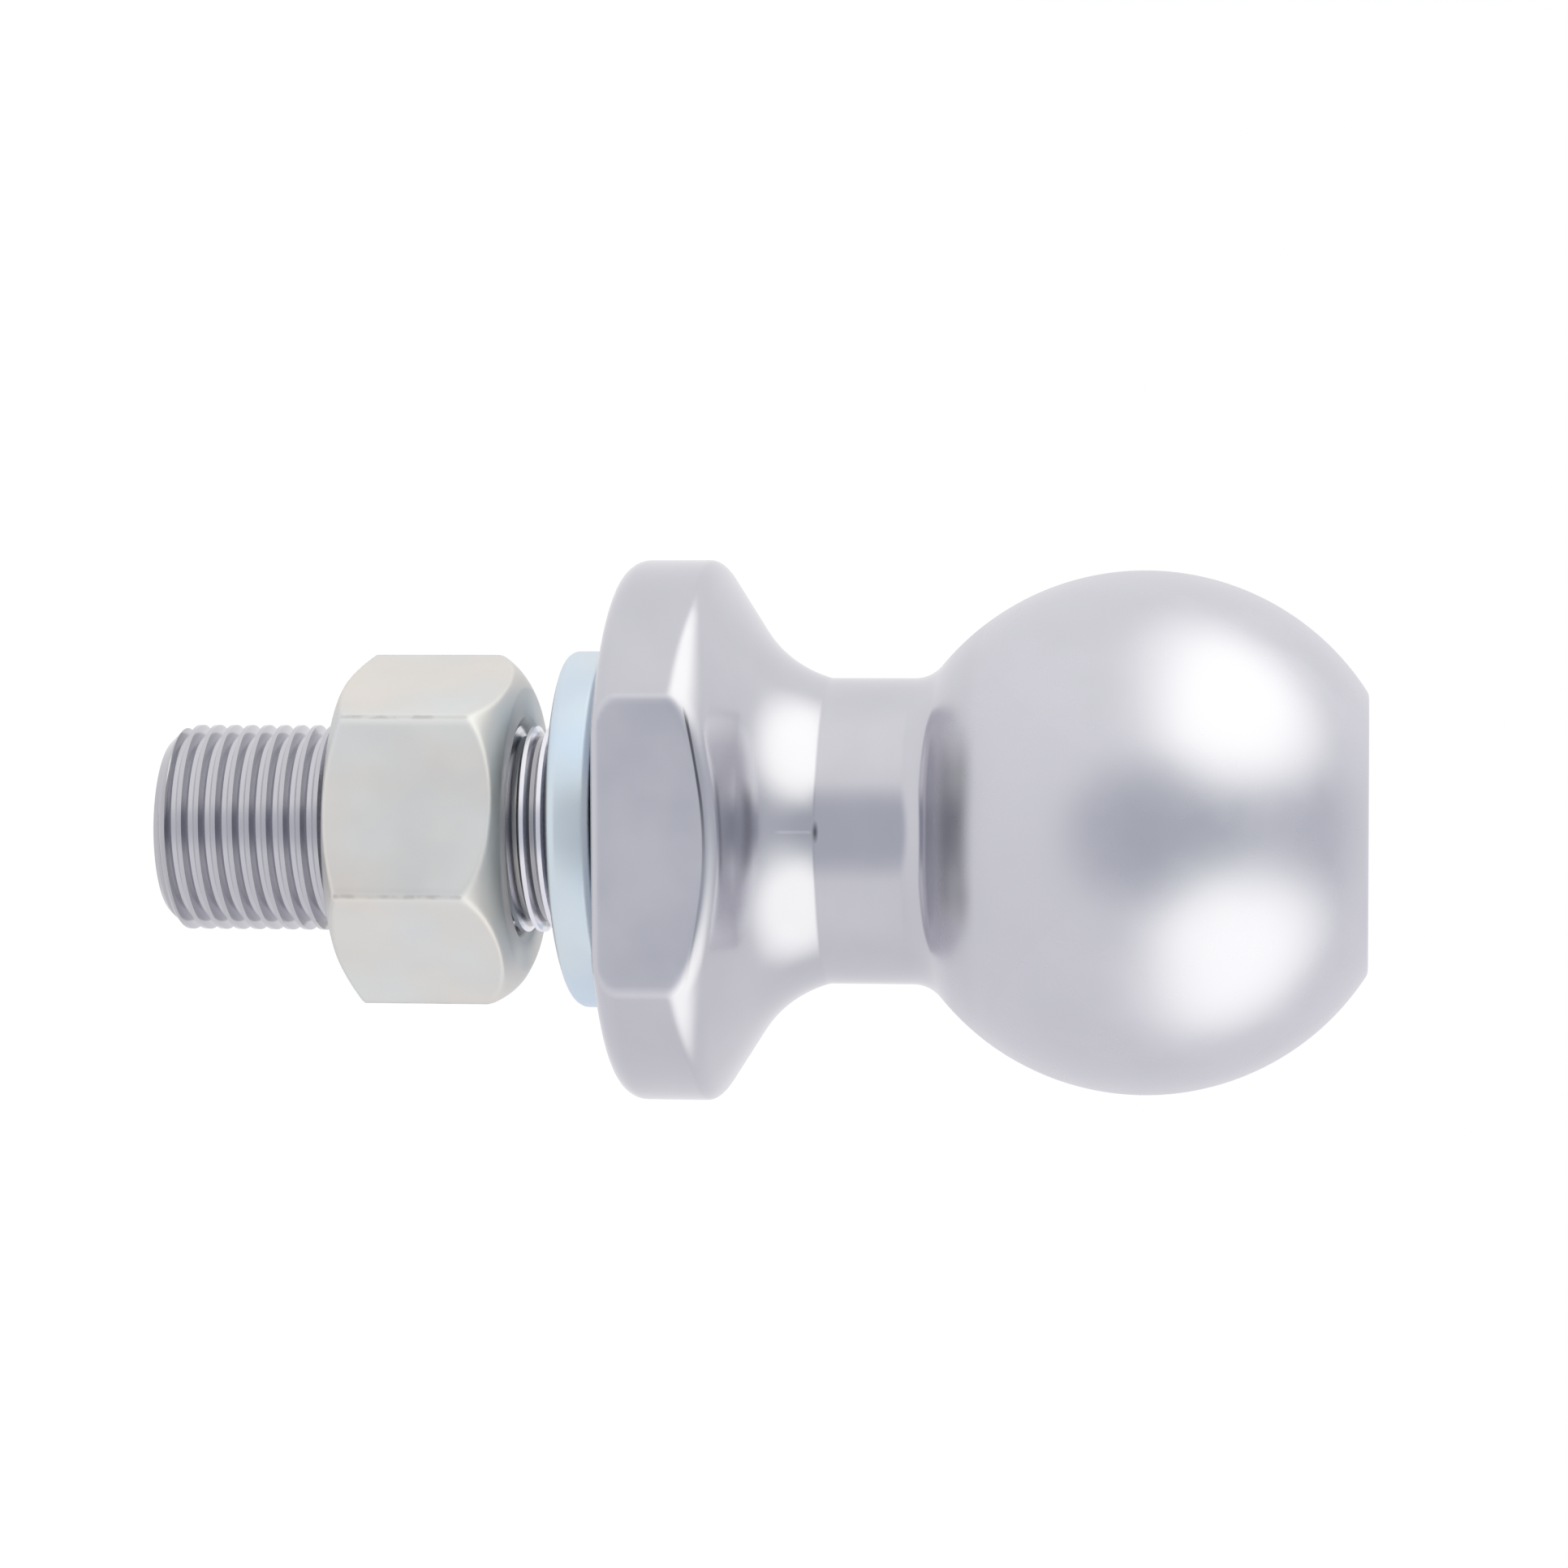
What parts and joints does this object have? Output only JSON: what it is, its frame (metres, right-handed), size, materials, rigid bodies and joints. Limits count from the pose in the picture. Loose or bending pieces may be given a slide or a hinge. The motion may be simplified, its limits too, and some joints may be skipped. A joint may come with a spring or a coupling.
{
  "type": "threaded tow ball",
  "caption": "Chrome-plated tow ball with flat top, neck, round flared collar with spanner flats, and threaded shank, carrying a split lock washer and a hexagon nut.",
  "frame": {"origin": "centre of the collar's seat face, on the shank's axis", "axes": "+Z along the shank's axis towards the ball, -Y towards the side that the picture shows, +X towards the picture's lower edge"},
  "size_m": [0.0496, 0.0476, 0.1105],
  "materials": {
    "chrome": "bright satin chrome plate on a steel forging",
    "blue_zinc": "pale blue zinc plate",
    "zinc": "dull clear zinc plate"
  },
  "bodies": {
    "tow_ball": {"tow_ball": "chrome"},
    "lock_washer": {"lock_washer": "blue_zinc"},
    "hex_nut": {"hex_nut": "zinc"}
  },
  "joints": [
    {"name": "nut_turn", "type": "hinge", "parent": "tow_ball", "child": "lock_washer", "pos_m": [0, 0, 0], "axis": [0, 0, 1], "range_deg": [-3875, 700]},
    {"name": "nut_travel", "type": "slide", "parent": "lock_washer", "child": "hex_nut", "axis": [0, 0, 1], "range_m": [-0.01709, 0.00309]}
  ],
  "couplings": [
    {"joint": "nut_travel", "follows": "nut_turn", "m_per_rad": 0.00025266}
  ]
}
